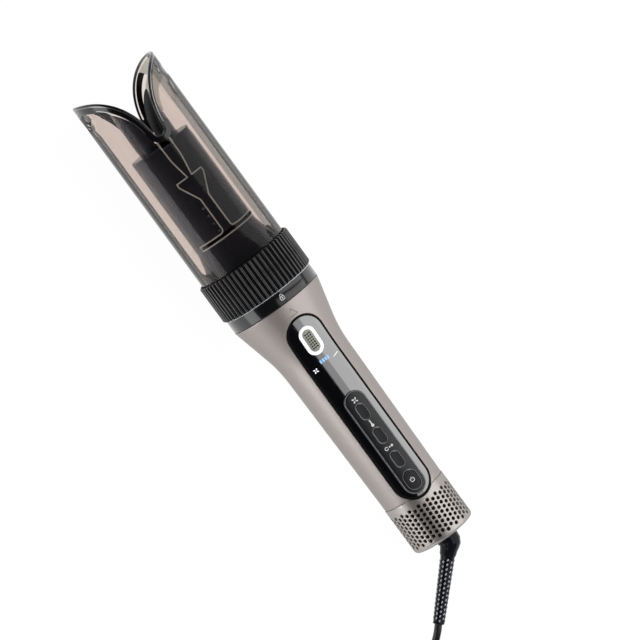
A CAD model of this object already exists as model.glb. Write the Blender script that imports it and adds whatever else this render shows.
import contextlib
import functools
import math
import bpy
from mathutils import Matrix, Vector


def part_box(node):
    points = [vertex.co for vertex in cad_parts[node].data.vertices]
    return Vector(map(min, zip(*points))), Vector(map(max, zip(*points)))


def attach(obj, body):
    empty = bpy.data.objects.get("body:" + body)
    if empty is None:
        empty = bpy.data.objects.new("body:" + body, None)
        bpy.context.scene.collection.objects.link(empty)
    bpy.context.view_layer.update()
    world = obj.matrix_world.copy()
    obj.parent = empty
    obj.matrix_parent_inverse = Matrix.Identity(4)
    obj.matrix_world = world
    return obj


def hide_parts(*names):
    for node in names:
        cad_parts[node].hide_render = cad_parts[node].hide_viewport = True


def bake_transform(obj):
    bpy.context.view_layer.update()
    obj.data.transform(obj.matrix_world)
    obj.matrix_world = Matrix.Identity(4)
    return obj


bl_info = {
    "name": "Automatic curling iron",
    "version": (1, 0, 0),
    "blender": (4, 5, 0),
    "location": "View3D > Sidebar > Curler",
    "description": "Builds a hair curler with a turning barrel, piece by piece, on its packed frame",
    "category": "Object",
}

import bmesh
import bpy
from mathutils import Matrix, Vector

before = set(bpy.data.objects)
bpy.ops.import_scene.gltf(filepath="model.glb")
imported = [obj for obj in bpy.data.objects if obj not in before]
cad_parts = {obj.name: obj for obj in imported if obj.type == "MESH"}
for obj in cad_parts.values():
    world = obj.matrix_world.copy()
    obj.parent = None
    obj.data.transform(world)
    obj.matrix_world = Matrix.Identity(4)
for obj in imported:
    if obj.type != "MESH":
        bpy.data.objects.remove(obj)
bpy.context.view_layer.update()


# ---------------------------------------------------------------- sizes

LENGTH = dict(subtype="DISTANCE", unit="LENGTH")
COLOUR = dict(subtype="COLOR", size=3, min=0, max=1)


class CurlerSizes(bpy.types.PropertyGroup):
    grille_radius: bpy.props.FloatProperty(
        name="Tail grille radius", description="Outer radius of the pierced tail cup", default=0.0205, **LENGTH)
    grille_columns: bpy.props.IntProperty(
        name="Hole columns", description="Columns of air holes round the tail cup", default=40, min=20)
    grille_rows: bpy.props.IntProperty(
        name="Hole rows", description="Air holes in one full column", default=8, min=2)
    grille_pitch: bpy.props.FloatProperty(
        name="Hole step", description="Step between the holes of a column", default=0.00304, **LENGTH)
    hole_diameter: bpy.props.FloatProperty(
        name="Air hole", description="Diameter of one air hole", default=0.0023, **LENGTH)
    panel_width: bpy.props.FloatProperty(
        name="Panel width", description="Width of the glossy display panel", default=0.0238, **LENGTH)
    pad_width: bpy.props.FloatProperty(
        name="Pad width", description="Width of the raised control pad", default=0.0142, **LENGTH)
    rib_count: bpy.props.IntProperty(
        name="Collar ribs", description="Ribs round the lock collar", default=60, min=12)
    rib_width: bpy.props.FloatProperty(
        name="Rib width", description="Width of one collar rib at its foot", default=0.0018, **LENGTH)
    cover_radius: bpy.props.FloatProperty(
        name="Cover radius", description="Outer radius of the clear cover", default=0.0289, **LENGTH)
    cover_wall: bpy.props.FloatProperty(
        name="Cover wall", description="Wall of the clear cover", default=0.002, **LENGTH)
    barrel_radius: bpy.props.FloatProperty(
        name="Barrel radius", description="Radius of the turning barrel", default=0.02, **LENGTH)
    cord_diameter: bpy.props.FloatProperty(
        name="Cord diameter", description="Diameter of the mains cord", default=0.0046, **LENGTH)


class CurlerColours(bpy.types.PropertyGroup):
    champagne: bpy.props.FloatVectorProperty(
        name="Handle", description="Metallic paint of the handle", default=(0.56, 0.50, 0.475), **COLOUR)
    grille: bpy.props.FloatVectorProperty(
        name="Tail grille", description="Metal of the tail grille", default=(0.58, 0.54, 0.51), **COLOUR)
    smoke: bpy.props.FloatVectorProperty(
        name="Cover", description="Tint of the clear cover", default=(0.775, 0.705, 0.67), **COLOUR)
    barrel: bpy.props.FloatVectorProperty(
        name="Barrel", description="Coating of the barrel", default=(0.028, 0.032, 0.044), **COLOUR)
    lights: bpy.props.FloatVectorProperty(
        name="Level lights", description="Glow of the level lights", default=(0.25, 0.52, 0.85), **COLOUR)


def sizes():
    return bpy.context.scene.curler_sizes


def colours():
    return bpy.context.scene.curler_colours


def mm(value):
    return value * 1000.0


# Levels along the tool's own axis, in millimetres: the tail is 0 and the horn tips are 332
Z_HANDLE, Z_WAIST, Z_FLARE, Z_NECK, Z_COLLAR, Z_HEAD, Z_TIP = 31.4, 126.0, 145.707, 169.2, 177.7, 202.6, 332.1
Z_FLANGE_TOP = 187.9
WAIST_R, TAIL_R, FLARE_ARC, SLOPE = 21.5, 20.2, 88.0, math.radians(13.75)
TAPER = math.atan((WAIST_R - TAIL_R) / (Z_WAIST - Z_HANDLE))
FLARE_R = WAIST_R + FLARE_ARC * (math.cos(TAPER) - math.cos(SLOPE))
Z_PANEL, PANEL_LEN = 28.8, 129.8
Z_PAD, PAD_LEN = 31.4, 72.8
Z_POWER, Z_TIMER, Z_HEAT, Z_FAN, Z_CURL, Z_LIGHTS = 40.5, 55.5, 72.8, 90.1, 142.0, 128.3
COLLAR_R, BAND_R, RIB_DEPTH = 31.2, 29.762, 0.7
Z_SPIDER, Z_SLIT, SLIT_H, Z_SLOT, Z_POCKET, Z_LIPS, Z_SHOULDER = 193.9, 220.6, 2.6, 223.2, 246.6, 261.6, 283.1
MOUTH_X, MOUTH_Z, MOUTH_W, MOUTH_H, SLOT_FLOOR = 38.05, 291.999, 34.4, 41.6, 291.1
TIP_R, SKIRT_R, RECESS, GAP, NOSE_DROP = 13.3, 24.0, 12.0, 4.2, 5.0
SLOT_HALF = 3.65
STUB_R, ELBOW_ANGLE, ELBOW_DROP, DROOP = 7.0, 43.5, 5.5, 10.0

# The tool lies on its rounded tail edge and on its collar, just above the collar's foot
ROUND, TAIL_EDGE_R, REST_UP = 2.0, 20.5, 0.8
LIE = math.atan((COLLAR_R - TAIL_EDGE_R) / (Z_COLLAR + REST_UP - ROUND))
TAIL_C = TAIL_EDGE_R - ROUND
PLACE_Z = TAIL_C * math.cos(LIE) + ROUND - ROUND * math.sin(LIE)
PLACE_Y = -((ROUND * math.cos(LIE) - TAIL_C * math.sin(LIE) - ROUND) + Z_TIP * math.cos(LIE)) / 2
LAY = Matrix.Scale(0.001, 4) @ Matrix((
    (1, 0, 0, 0),
    (0, math.sin(LIE), math.cos(LIE), PLACE_Y),
    (0, -math.cos(LIE), math.sin(LIE), PLACE_Z),
    (0, 0, 0, 1)))
WORLD = Matrix.Scale(0.001, 4)


def handle_r(z):
    """Outer radius of the handle at a height."""
    if z < Z_WAIST:
        return WAIST_R - (Z_WAIST - z) * math.tan(TAPER)
    if z < Z_FLARE:
        lean = math.asin(math.sin(TAPER) + (z - Z_WAIST) / FLARE_ARC)
        return WAIST_R + FLARE_ARC * (math.cos(TAPER) - math.cos(lean))
    return FLARE_R + (z - Z_FLARE) * math.tan(SLOPE)


# ---------------------------------------------------------------- mesh helpers

def add_object(name, data):
    obj = bpy.data.objects.new(name, data)
    bpy.context.scene.collection.objects.link(obj)
    return obj


@contextlib.contextmanager
def edited(mesh):
    """A mesh as a bmesh, written back at the end."""
    work = bmesh.new()
    work.from_mesh(mesh)
    yield work
    work.to_mesh(mesh)
    work.free()


def mesh_object(name, verts, faces, material=None, matrix=None, weld=0.0004):
    """A mesh from points in millimetres, welded, with its normals as the faces give them."""
    mesh = bpy.data.meshes.new(name)
    mesh.from_pydata([tuple(v) for v in verts], [], faces)
    with edited(mesh) as work:
        if weld:
            bmesh.ops.remove_doubles(work, verts=work.verts, dist=weld)
            bmesh.ops.dissolve_degenerate(work, edges=work.edges, dist=weld / 4)
        if matrix is not None:
            bmesh.ops.transform(work, matrix=matrix, verts=work.verts)
    if material is not None:
        mesh.materials.append(material)
    return add_object(name, mesh)


def weld_mesh(obj, distance):
    with edited(obj.data) as work:
        bmesh.ops.remove_doubles(work, verts=work.verts, dist=distance)


def face_out(obj):
    """Turns the faces of a closed mesh outwards."""
    with edited(obj.data) as work:
        bmesh.ops.recalc_face_normals(work, faces=work.faces)
    return obj


def shade(obj, angle=32):
    for poly in obj.data.polygons:
        poly.use_smooth = True
    obj.data.set_sharp_from_angle(angle=math.radians(angle))


def bake(obj):
    """Turns the modifiers of an object into its plain mesh."""
    graph = bpy.context.evaluated_depsgraph_get()
    graph.update()
    mesh = bpy.data.meshes.new_from_object(obj.evaluated_get(graph))
    old = obj.data
    obj.modifiers.clear()
    obj.data = mesh
    bpy.data.meshes.remove(old)


def remove(obj):
    mesh = obj.data
    bpy.data.objects.remove(obj)
    if mesh.users == 0:
        bpy.data.meshes.remove(mesh)


def join(name, parts):
    """One mesh out of several, which are removed; material slots are kept."""
    work = bmesh.new()
    slots = []
    for part in parts:
        offset = []
        for mat in part.data.materials:
            if mat not in slots:
                slots.append(mat)
            offset.append(slots.index(mat))
        start = len(work.faces)
        work.from_mesh(part.data)
        work.faces.ensure_lookup_table()
        for face in work.faces[start:]:
            face.material_index = offset[face.material_index] if offset else 0
    mesh = bpy.data.meshes.new(name)
    work.to_mesh(mesh)
    work.free()
    for mat in slots:
        mesh.materials.append(mat)
    obj = add_object(name, mesh)
    for part in parts:
        remove(part)
    obj.name = mesh.name = name
    return obj


def cut(obj, cutters, operation="DIFFERENCE"):
    for cutter in cutters:
        mod = obj.modifiers.new("cut", "BOOLEAN")
        mod.operation = operation
        mod.solver = "EXACT"
        mod.object = cutter
        bake(obj)
        remove(cutter)


def soften(obj, width, segments=2, angle=35):
    """Small rounds along the sharp edges."""
    mod = obj.modifiers.new("round", "BEVEL")
    mod.width = width
    mod.segments = segments
    mod.limit_method = "ANGLE"
    mod.angle_limit = math.radians(angle)
    mod.use_clamp_overlap = True
    mod.miter_outer = "MITER_ARC"
    bake(obj)


def finish_piece(obj, material, body, node=None, matrix=LAY, angle=32):
    """Puts a piece in place, gives it its finish and lets it ride on its body."""
    if matrix is not None:
        obj.data.transform(matrix)
    if material is not None:
        obj.data.materials.clear()
        obj.data.materials.append(material)
    shade(obj, angle)
    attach(obj, body)
    if node:
        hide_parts(node)


def quads(rows, n, wrap=False, ring=True, turned=False):
    """Faces between rows of n points; wrap joins the last row to the first, ring the last point to the first."""
    faces = []
    for i in range(rows if wrap else rows - 1):
        a, b = i * n, (i + 1) % rows * n
        for k in range(n if ring else n - 1):
            m = (k + 1) % n
            faces.append((a + k, b + k, b + m, a + m) if turned else (a + k, a + m, b + m, b + k))
    return faces


def capped(rows, n):
    """The faces of a closed tube."""
    return quads(rows, n) + [tuple(reversed(range(n))), tuple(range((rows - 1) * n, rows * n))]


def rounded(points, radii, steps=4):
    """A polyline in (radius, height) whose corners are rounded."""
    out = []
    for i, (p, r) in enumerate(zip(points, radii)):
        if r <= 0 or i in (0, len(points) - 1):
            out.append(p)
            continue
        a, b, c = Vector(points[i - 1]), Vector(p), Vector(points[i + 1])
        u, v = (a - b).normalized(), (c - b).normalized()
        half = u.angle(v) / 2
        reach = min(r / math.tan(half), (a - b).length * 0.49, (c - b).length * 0.49)
        r = reach * math.tan(half)
        centre = b + (u + v).normalized() * (r / math.sin(half))
        start, end = b + u * reach - centre, b + v * reach - centre
        turn = start.angle_signed(end)
        for k in range(steps + 1):
            t = -turn * k / steps
            out.append(tuple(centre + Vector((start.x * math.cos(t) - start.y * math.sin(t),
                                              start.x * math.sin(t) + start.y * math.cos(t)))))
    return out


def revolve(profile, segments=192, start=0.0, end=360.0, closed=False):
    """Spins a profile of (radius, height) round the axis; angle 0 is the front, 90 is +X."""
    full = abs(end - start - 360.0) < 1e-6
    columns = segments if full else segments + 1
    verts = []
    for i in range(columns):
        a = math.radians(start + (end - start) * i / segments)
        verts += [(r * math.sin(a), -r * math.cos(a), z) for r, z in profile]
    n = len(profile)
    faces = quads(columns, n, wrap=full, ring=closed, turned=True)
    if not full and closed:
        faces.append(tuple(range(n)))
        faces.append(tuple(reversed(range(segments * n, segments * n + n))))
    return verts, faces


def closed_ring(name, profile, material=None, segments=192):
    """A solid ring from a closed section."""
    return face_out(mesh_object(name, *revolve(profile, segments, closed=True), material))


def on_round(radius, x, z, side=-1):
    return (x, side * math.sqrt(max(radius * radius - x * x, 0.0)), z)


def on_handle(x, z, h):
    return on_round(handle_r(z) + h, x, z)


def on_band(x, z, h):
    return on_round(BAND_R + h, x, z)


def mouth_edge(x, drop=0.0):
    """Height of the mouth's oval edge at a distance from the middle."""
    c = max(-1.0, min(1.0, (MOUTH_X - abs(x)) / MOUTH_W))
    return MOUTH_Z - drop + MOUTH_H * math.sqrt(1 - c * c)


def stadium_ring(w, l, inset, step=1.4, arc=14):
    """Points of a stadium outline, counter-clockwise seen from the front, the same count at every inset."""
    r, s = w / 2 - inset, (l - w) / 2
    m = max(1, int(round(2 * s / step)))
    right = [(r, -s + 2 * s * i / m) for i in range(m + 1)]
    top = [(r * math.cos(math.pi * i / arc), s + r * math.sin(math.pi * i / arc)) for i in range(1, arc)]
    left = [(-x, -z) for x, z in right]
    foot = [(-x, -z) for x, z in top]
    return right + top + left + foot, m


def stadium_loft(w, l, mid, profile, ring=False, arc=14, step=1.4):
    """A stadium-shaped body on the handle; its section is a list of (inset, height above the surface)."""
    verts = []
    for inset, h in profile:
        points, m = stadium_ring(w, l, inset, step, arc)
        verts += [on_handle(x, mid + z, h) for x, z in points]
    n, rows = len(points), len(profile)
    faces = quads(rows, n, wrap=ring)
    if not ring:
        for base, flip in ((0, True), ((rows - 1) * n, False)):
            fill = [(i, i + 1, 2 * m + arc - i - 1, 2 * m + arc - i) for i in range(m)]
            fill.append(tuple(range(m, m + arc + 1)))
            fill.append(tuple(range(2 * m + arc, n)) + (0,))
            for face in fill:
                face = tuple(base + i for i in face)
                faces.append(tuple(reversed(face)) if flip else face)
    return verts, faces


def stadium_cap(w, l, mid, base, top, edge=0.3, dish=0.0, rings=6):
    """A closed stadium body with a rounded edge and a slightly dished top."""
    profile = [(0.0, base), (0.0, top - edge)]
    profile += [(edge * (1 - math.cos(t)), top - edge + edge * math.sin(t)) for t in (0.4, 0.8, 1.2, math.pi / 2)]
    last = w / 2 - 0.25
    for k in range(1, rings + 1):
        t = k / rings
        profile.append((edge + (last - edge) * t, top - dish * math.sin(t * math.pi / 2)))
    return stadium_loft(w, l, mid, profile)


def prism(name, outline, reach=40.0):
    """A closed outline of (x, z), counter-clockwise from the front, run along the front-back way."""
    n = len(outline)
    verts = [(x, -reach, z) for x, z in outline] + [(x, reach, z) for x, z in outline]
    faces = [tuple(range(n)), tuple(reversed(range(n, 2 * n)))]
    faces += quads(2, n, turned=True)
    return mesh_object(name, verts, faces, weld=0)


def stadium_cutter(width, length, z, back=-10.0, arc=20):
    """A stadium prism through the front of the handle, as deep as back."""
    outline, _ = stadium_ring(width, length, 0, step=400, arc=arc)
    cutter = prism("cutter", [(x, z + q) for x, q in outline])
    for v in cutter.data.vertices:
        v.co.y = min(v.co.y, back)
    return cutter


def strip(points, width, surface, h):
    """A flat stroke of a mark along points of (x, z)."""
    verts = []
    count = len(points)
    for i, p in enumerate(points):
        a = Vector(points[max(i - 1, 0)])
        b = Vector(points[min(i + 1, count - 1)])
        d = (b - a).normalized()
        side = Vector((d.y, -d.x)) * width / 2
        verts += [surface(p[0] + s.x, p[1] + s.y, h) for s in (side, -side)]
    return verts, quads(count, 2, ring=False, turned=True)


def line(a, b, step=0.4):
    n = max(1, int(math.dist(a, b) / step))
    return [(a[0] + (b[0] - a[0]) * i / n, a[1] + (b[1] - a[1]) * i / n) for i in range(n + 1)]


def poly_line(corners, step=0.4):
    points = corners[:1]
    for a, b in zip(corners, corners[1:]):
        points = points + line(a, b, step)[1:]
    return points


def arc_line(x, z, r, start, end, steps=18):
    turns = [math.radians(start + (end - start) * i / steps) for i in range(steps + 1)]
    return [(x + r * math.cos(t), z + r * math.sin(t)) for t in turns]


def blob(x, z, rx, rz, turn, surface, h, steps=16):
    """A small filled ellipse of a mark."""
    c, s = math.cos(math.radians(turn)), math.sin(math.radians(turn))
    verts = [surface(x, z, h)]
    for i in range(steps):
        a = 2 * math.pi * i / steps
        u, v = rx * math.cos(a), rz * math.sin(a)
        verts.append(surface(x + u * c - v * s, z + u * s + v * c, h))
    return verts, [(0, 1 + i, 1 + (i + 1) % steps) for i in range(steps)]


def merged(shapes):
    verts, faces = [], []
    for v, f in shapes:
        base = len(verts)
        verts += v
        faces += [tuple(base + i for i in face) for face in f]
    return verts, faces


def tube_along(points, radius, sides=12):
    """A round tube whose rings stand square to the path; radius may be one value or one for each point."""
    count = len(points)
    points = [Vector(p) for p in points]
    radii = radius if isinstance(radius, (list, tuple)) else [radius] * count
    ways = [(points[min(i + 1, count - 1)] - points[max(i - 1, 0)]).normalized() for i in range(count)]
    side = ways[0].orthogonal().normalized()
    verts = []
    for i in range(count):
        side = (side - ways[i] * side.dot(ways[i])).normalized()
        up = ways[i].cross(side)
        for k in range(sides):
            a = 2 * math.pi * k / sides
            verts.append(points[i] + (side * math.cos(a) + up * math.sin(a)) * radii[i])
    return verts, capped(count, sides)


def smooth_path(points, per=5):
    """A curve through hand-set points, evenly refined."""
    pts = [Vector(p) for p in points]
    out = []
    for i in range(len(pts) - 1):
        p0 = pts[i - 1] if i else pts[0] * 2 - pts[1]
        p1, p2 = pts[i], pts[i + 1]
        p3 = pts[i + 2] if i + 2 < len(pts) else pts[-1] * 2 - pts[-2]
        for k in range(per):
            t = k / per
            out.append(0.5 * ((2 * p1) + (p2 - p0) * t + (2 * p0 - 5 * p1 + 4 * p2 - p3) * t * t
                              + (3 * p1 - p0 - 3 * p2 + p3) * t ** 3))
    out.append(pts[-1])
    return out


# ---------------------------------------------------------------- node helpers

def plug_in(tree, made, inputs):
    """Sets inputs of a node: each is a value or the output of another node."""
    for key, value in inputs.items():
        if isinstance(value, bpy.types.NodeSocket):
            tree.links.new(value, made.inputs[key])
        else:
            made.inputs[key].default_value = value


def node(tree, kind, inputs=None, **settings):
    """Adds a node and gives back its outputs."""
    made = tree.nodes.new(kind)
    for key, value in settings.items():
        setattr(made, key, value)
    plug_in(tree, made, inputs or {})
    return made.outputs


def math_node(tree, operation, *values):
    return node(tree, "ShaderNodeMath", dict(enumerate(values)), operation=operation)[0]


def smooth_step(tree, value, low, high, inputs=None):
    """0 below low, 1 above high and a soft change between."""
    return node(tree, "ShaderNodeMapRange", {"Value": value, "From Min": low, "From Max": high, **(inputs or {})},
                interpolation_type="SMOOTHSTEP")["Result"]


def new_tree(name, kind, inputs, outputs):
    """A node group with its named inputs (kind of socket, label, value) and outputs (kind of socket, label)."""
    tree = bpy.data.node_groups.new(name, kind)
    for socket_kind, label, value in inputs:
        socket = tree.interface.new_socket(label, in_out="INPUT", socket_type="NodeSocket" + socket_kind)
        if value is not None:
            socket.default_value = value
    for socket_kind, label in outputs:
        tree.interface.new_socket(label, in_out="OUTPUT", socket_type="NodeSocket" + socket_kind)
    return tree, tree.nodes.new("NodeGroupInput").outputs, tree.nodes.new("NodeGroupOutput")


# ---------------------------------------------------------------- materials

def grain_group():
    """Moulded or painted surface: slight colour drift, uneven gloss and a fine raised grain."""
    name = "Surface grain"
    if name in bpy.data.node_groups:
        return bpy.data.node_groups[name]
    tree, head, tail = new_tree(name, "ShaderNodeTree", [
        ("Color", "Colour", (0.5, 0.5, 0.5, 1)), ("Float", "Drift", 0.08), ("Float", "Roughness", 0.4),
        ("Float", "Gloss spread", 0.06), ("Float", "Grain scale", 2500.0), ("Float", "Patch scale", 60.0),
    ], [("Color", "Colour"), ("Float", "Roughness"), ("Float", "Height")])
    place = node(tree, "ShaderNodeTexCoord")["Object"]
    fine = node(tree, "ShaderNodeTexNoise", {"Vector": place, "Scale": head["Grain scale"], "Detail": 2.0})
    patch = node(tree, "ShaderNodeTexNoise", {"Vector": place, "Scale": head["Patch scale"], "Detail": 4.0})
    centred = math_node(tree, "SUBTRACT", patch["Fac"], 0.5)
    shift = math_node(tree, "MULTIPLY_ADD", centred, head["Drift"], 1.0)
    toned = node(tree, "ShaderNodeVectorMath", {0: head["Colour"], "Scale": shift}, operation="SCALE")
    plug_in(tree, tail, {
        "Colour": toned["Vector"], "Height": fine["Fac"],
        "Roughness": math_node(tree, "MULTIPLY_ADD", centred, head["Gloss spread"], head["Roughness"])})
    return tree


def flake_group():
    """Metallic paint: tiny flakes that vary the tone and tip the surface a little."""
    name = "Metal flake"
    if name in bpy.data.node_groups:
        return bpy.data.node_groups[name]
    tree, head, tail = new_tree(name, "ShaderNodeTree", [
        ("Color", "Colour", (0.5, 0.45, 0.42, 1)), ("Float", "Flake scale", 4200.0),
        ("Float", "Sparkle", 0.10), ("Float", "Cloud", 0.04),
    ], [("Color", "Colour"), ("Float", "Height")])
    place = node(tree, "ShaderNodeTexCoord")["Object"]
    cells = node(tree, "ShaderNodeTexVoronoi", {"Vector": place, "Scale": head["Flake scale"]})
    tone = node(tree, "ShaderNodeSeparateColor", {0: cells["Color"]})
    cloud = node(tree, "ShaderNodeTexNoise", {"Vector": place, "Scale": 45.0})
    total = 1.0
    for source, amount in ((tone[0], "Sparkle"), (cloud["Fac"], "Cloud")):
        centred = math_node(tree, "SUBTRACT", source, 0.5)
        total = math_node(tree, "MULTIPLY_ADD", centred, head[amount], total)
    toned = node(tree, "ShaderNodeVectorMath", {0: head["Colour"], "Scale": total}, operation="SCALE")
    plug_in(tree, tail, {"Colour": toned["Vector"], "Height": tone[1]})
    return tree


def material(build):
    """Makes a material once: build(tree, bsdf, ...) fills it, and later calls with its name give it back."""
    @functools.wraps(build)
    def made(name, *values, **more):
        mat = bpy.data.materials.get(name)
        if mat is None:
            mat = bpy.data.materials.new(name)
            mat.use_nodes = True
            tree = mat.node_tree
            build(tree, tree.nodes["Principled BSDF"], *values, **more)
        return mat
    return made


def grain_node(tree, colour, roughness, **inputs):
    labels = {"drift": "Drift", "spread": "Gloss spread", "grain": "Grain scale", "patch": "Patch scale"}
    inputs = {labels[key]: value for key, value in inputs.items()}
    return node(tree, "ShaderNodeGroup", {"Colour": (*colour, 1), "Roughness": roughness, **inputs},
                node_tree=grain_group())


def use_grain(tree, bsdf, colour, roughness, **inputs):
    """Base colour and roughness from the grain group; gives back the group's outputs."""
    group = grain_node(tree, colour, roughness, **inputs)
    plug_in(tree, bsdf, {"Base Color": group["Colour"], "Roughness": group["Roughness"]})
    return group


def bumped(tree, bsdf, height, strength, distance=0.00005):
    relief = node(tree, "ShaderNodeBump", {"Strength": strength, "Distance": distance, "Height": height})
    plug_in(tree, bsdf, {"Normal": relief["Normal"]})


@material
def grained(tree, bsdf, colour, roughness, grain=2500.0, bump=0.1, more=None, **inputs):
    """A finish with the surface-grain group and a fine bump."""
    group = use_grain(tree, bsdf, colour, roughness, grain=grain, **inputs)
    bumped(tree, bsdf, group["Height"], bump)
    plug_in(tree, bsdf, more or {})


@material
def flaked(tree, bsdf, colour, roughness, sparkle, more):
    group = node(tree, "ShaderNodeGroup", {"Colour": (*colour, 1), "Sparkle": sparkle}, node_tree=flake_group())
    # flakes lie flat in the paint, so it darkens where it is seen aslant
    facing = node(tree, "ShaderNodeLayerWeight", {"Blend": 0.5})["Facing"]
    dark = node(tree, "ShaderNodeMix", {"Factor": facing, "A": group["Colour"], "B": (0.4, 0.4, 0.4, 1)},
                data_type="RGBA", blend_type="MULTIPLY")
    bumped(tree, bsdf, group["Height"], 0.05)
    plug_in(tree, bsdf, {"Base Color": dark["Result"], "Roughness": roughness, **more})


@material
def glow(tree, bsdf, colour, strength):
    """A lit light guide: bright, a little uneven, under a clear skin."""
    group = use_grain(tree, bsdf, colour, 0.3, drift=0.12, patch=400.0)
    plug_in(tree, bsdf, {"Emission Color": group["Colour"], "Emission Strength": strength})


@material
def woven(tree, bsdf, colour, roughness):
    """Woven strap."""
    weave = node(tree, "ShaderNodeTexWave", {
        "Scale": 700.0, "Distortion": 1.5, "Vector": node(tree, "ShaderNodeTexCoord")["Object"]},
        wave_type="BANDS", bands_direction="DIAGONAL")
    use_grain(tree, bsdf, colour, roughness)
    bumped(tree, bsdf, weave["Fac"], 0.6, 0.0002)


def coated(weight, roughness, **more):
    return {"Coat Weight": weight, "Coat Roughness": roughness, **more}


# colour, roughness and the rest of each plain finish
FINISHES = {
    "Panel gloss black": ((0.0035, 0.0038, 0.006), 0.12, dict(
        drift=0.2, spread=0.02, grain=300.0, bump=0.0, more=coated(1.0, 0.09, **{"IOR": 2.3, "Coat IOR": 2.3}))),
    "Pad satin black": ((0.016, 0.017, 0.019), 0.38, dict(spread=0.08, grain=3000.0, bump=0.15)),
    "Pad bead": ((0.29, 0.29, 0.31), 0.3, dict(grain=1500.0, bump=0.03, more=coated(0.3, 0.1))),
    "Key satin black": ((0.024, 0.024, 0.027), 0.5, dict(
        spread=0.06, grain=3000.0, bump=0.12, more={"Specular IOR Level": 0.3})),
    "Curl button grey": ((0.44, 0.45, 0.38), 0.42, dict(grain=1800.0)),
    "Dark print": ((0.10, 0.09, 0.09), 0.45, dict(grain=1200.0)),
    "Collar satin black": ((0.012, 0.012, 0.0135), 0.24, dict(
        spread=0.06, grain=1400.0, bump=0.05, more=coated(0.5, 0.12))),
    "Band gloss black": ((0.010, 0.010, 0.011), 0.16, dict(
        spread=0.05, grain=900.0, bump=0.02, more=coated(0.6, 0.06))),
    "Head base black": ((0.014, 0.014, 0.016), 0.3, dict(spread=0.08, grain=1800.0)),
    "Cord rubber": ((0.011, 0.011, 0.013), 0.36, dict(spread=0.12, grain=2400.0, bump=0.2)),
    "Relief rubber": ((0.008, 0.009, 0.013), 0.2, dict(spread=0.05, grain=1600.0, bump=0.03, more={"IOR": 1.26})),
    "Relief bead": ((0.52, 0.54, 0.58), 0.16, dict(grain=1600.0, bump=0.03, more={"Metallic": 0.6})),
    "Plain steel": ((0.55, 0.55, 0.56), 0.32, dict(grain=1200.0, bump=0.06, more={"Metallic": 1.0})),
    "Nickel plate": ((0.66, 0.64, 0.6), 0.2, dict(grain=900.0, bump=0.03, more={"Metallic": 1.0})),
    "Sintered brass": ((0.56, 0.36, 0.14), 0.36, dict(grain=1800.0, bump=0.15, more={"Metallic": 1.0})),
    "Natural nylon": ((0.70, 0.68, 0.60), 0.45, dict(grain=1800.0, bump=0.08)),
    "Mica sheet": ((0.55, 0.48, 0.33), 0.3, dict(drift=0.35, grain=700.0, patch=180.0, bump=0.2)),
    "Board lacquer": ((0.01, 0.09, 0.035), 0.25, dict(drift=0.2, grain=900.0, bump=0.05)),
    "Inner moulding": ((0.022, 0.022, 0.024), 0.5, dict(grain=1500.0, bump=0.2)),
    "Lead jacket": ((0.42, 0.03, 0.02), 0.4, dict(grain=1500.0)),
    "Slot matte black": ((0.004, 0.004, 0.005), 0.75, dict(
        drift=0.2, grain=1500.0, more={"Specular IOR Level": 0.15})),
    "Bright edge": ((0.87, 0.95, 1.0), 0.3, dict(grain=900.0, bump=0.02, more=coated(0.6, 0.1))),
    "Air hole floor": ((0.6, 0.6, 0.62), 0.5, dict(grain=900.0, bump=0.05)),
    "Cover rim black": ((0.006, 0.006, 0.007), 0.18, dict(
        spread=0.05, grain=700.0, bump=0.02, more=coated(0.5, 0.05))),
    "Cover rim line": ((0.42, 0.42, 0.43), 0.25, dict(grain=700.0, bump=0.02, more={"Metallic": 0.8})),
}


def plain(name):
    """A plain finish from the list above."""
    colour, roughness, rest = FINISHES[name]
    return grained(name, colour, roughness, **rest)


def print_white():
    return glow("White print", (0.8, 0.8, 0.8), 0.25)


def grille_metal():
    return flaked("Satin grille metal", colours().grille, 0.38, 0.06, {"Metallic": 0.86})


def barrel_coat():
    return grained("Barrel ceramic coat", colours().barrel, 0.24, spread=0.04, grain=2600.0, bump=0.02,
                   more=coated(0.15, 0.14, **{"IOR": 1.82, "Specular Tint": (0.70, 0.81, 1.0, 1)}))


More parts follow.
